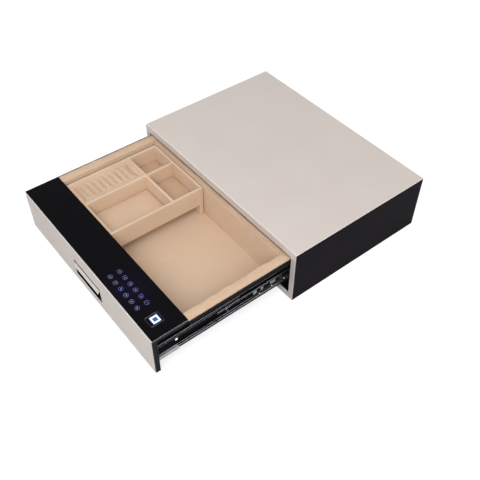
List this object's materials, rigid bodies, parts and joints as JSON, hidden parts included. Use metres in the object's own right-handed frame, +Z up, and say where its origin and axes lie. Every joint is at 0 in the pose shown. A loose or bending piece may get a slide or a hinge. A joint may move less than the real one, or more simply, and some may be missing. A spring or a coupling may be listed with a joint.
{
  "type": "biometric safe",
  "caption": "Low steel drawer safe with a suede-lined drawer on ball slides, a fingerprint and keypad strip, a drop-bolt lock and a sliding jewellery tray.",
  "frame": {"origin": "centre of the underside of the case, on the surface that the safe stands on", "axes": "+X to the right of someone who faces the drawer, +Y to the back of the case, +Z up; the drawer opens towards -Y"},
  "size_m": [0.562, 0.7322, 0.144],
  "materials": {
    "black_steel": "satin black powder coat",
    "champagne_steel": "satin champagne paint",
    "zinc": "bright zinc plate",
    "ball_steel": "polished",
    "slide_steel": "black electro-coat, slightly glossy",
    "lock_alloy": "die cast, matte",
    "black_plastic": "fine matte",
    "suede": "short nap suede",
    "suede_dark": "short nap suede",
    "glass_black": "gloss black, printed from behind",
    "key_glow": "lit violet ring",
    "sensor_glow": "lit white-blue",
    "board": "solder mask",
    "cell": "plain wrapped cell",
    "screw_white": "passivated"
  },
  "bodies": {
    "case": {"case_shell": "black_steel", "back_panel": "black_steel", "top_panel": "champagne_steel", "front_frame": "champagne_steel", "case_rivets": "black_steel", "slide_bracket_left": "black_steel", "slide_bracket_right": "black_steel", "case_rail_left": "slide_steel", "case_rail_right": "slide_steel", "case_rail_screws": "zinc", "rail_stops": "black_plastic", "lock_strike": "zinc", "strike_screws": "zinc"},
    "middle_left": {"middle_rail_left": "slide_steel"},
    "middle_right": {"middle_rail_right": "slide_steel"},
    "outer_balls_carrier_left": {"outer_retainer_left": "zinc", "outer_balls_left": "ball_steel"},
    "outer_balls_carrier_right": {"outer_retainer_right": "zinc", "outer_balls_right": "ball_steel"},
    "inner_balls_carrier_left": {"inner_retainer_left": "zinc", "inner_balls_left": "ball_steel"},
    "inner_balls_carrier_right": {"inner_retainer_right": "zinc", "inner_balls_right": "ball_steel"},
    "drawer": {"drawer_box": "black_steel", "rear_cover": "black_steel", "rear_cover_screws": "zinc", "drawer_rail_left": "slide_steel", "drawer_rail_right": "slide_steel", "drawer_rail_screws": "screw_white", "rail_clips": "zinc", "face_plate": "champagne_steel", "face_backing": "black_plastic", "pull_cup": "black_plastic", "pull_lip": "champagne_steel", "keypad_housing": "black_plastic", "keypad_board": "board", "control_glass": "glass_black", "key_rings": "key_glow", "sensor_frame": "black_plastic", "fingerprint_sensor": "sensor_glow", "control_board": "board", "battery_box": "black_plastic", "batteries": "cell", "battery_cover": "black_plastic", "lock_housing": "lock_alloy", "lock_motor": "zinc", "lock_cable": "black_plastic", "floor_lining": "suede", "front_lining": "suede", "back_lining": "suede", "left_lining": "suede", "right_lining": "suede", "rim_pad_left": "suede", "rim_pad_right": "suede", "rim_pad_back": "suede"},
    "bolt": {"lock_bolt": "zinc"},
    "tray": {"tray_frame": "suede", "tray_dividers": "suede", "tray_pads": "suede_dark", "ring_cushion": "suede"}
  },
  "joints": [
    {"name": "drawer_slide", "type": "slide", "parent": "case", "child": "drawer", "axis": [0, 1, 0], "range_m": [0, 0.34]},
    {"name": "middle_left_slide", "type": "slide", "parent": "case", "child": "middle_left", "axis": [0, 1, 0], "range_m": [0, 0.1973]},
    {"name": "middle_right_slide", "type": "slide", "parent": "case", "child": "middle_right", "axis": [0, 1, 0], "range_m": [0, 0.1973]},
    {"name": "outer_left_slide", "type": "slide", "parent": "case", "child": "outer_balls_carrier_left", "axis": [0, 1, 0], "range_m": [0, 0.2687]},
    {"name": "outer_right_slide", "type": "slide", "parent": "case", "child": "outer_balls_carrier_right", "axis": [0, 1, 0], "range_m": [0, 0.2687]},
    {"name": "inner_left_slide", "type": "slide", "parent": "case", "child": "inner_balls_carrier_left", "axis": [0, 1, 0], "range_m": [0, 0.0987]},
    {"name": "inner_right_slide", "type": "slide", "parent": "case", "child": "inner_balls_carrier_right", "axis": [0, 1, 0], "range_m": [0, 0.0987]},
    {"name": "bolt_slide", "type": "slide", "parent": "drawer", "child": "bolt", "axis": [0, 0, -1], "range_m": [0, 0.018]},
    {"name": "tray_slide", "type": "slide", "parent": "drawer", "child": "tray", "axis": [1, 0, 0], "range_m": [-0.008, 0.265]}
  ],
  "couplings": [
    {"joint": "middle_left_slide", "follows": "drawer_slide", "ratio": 0.58},
    {"joint": "middle_right_slide", "follows": "drawer_slide", "ratio": 0.58},
    {"joint": "outer_left_slide", "follows": "drawer_slide", "ratio": 0.79},
    {"joint": "outer_right_slide", "follows": "drawer_slide", "ratio": 0.79},
    {"joint": "inner_left_slide", "follows": "drawer_slide", "ratio": 0.29},
    {"joint": "inner_right_slide", "follows": "drawer_slide", "ratio": 0.29}
  ]
}
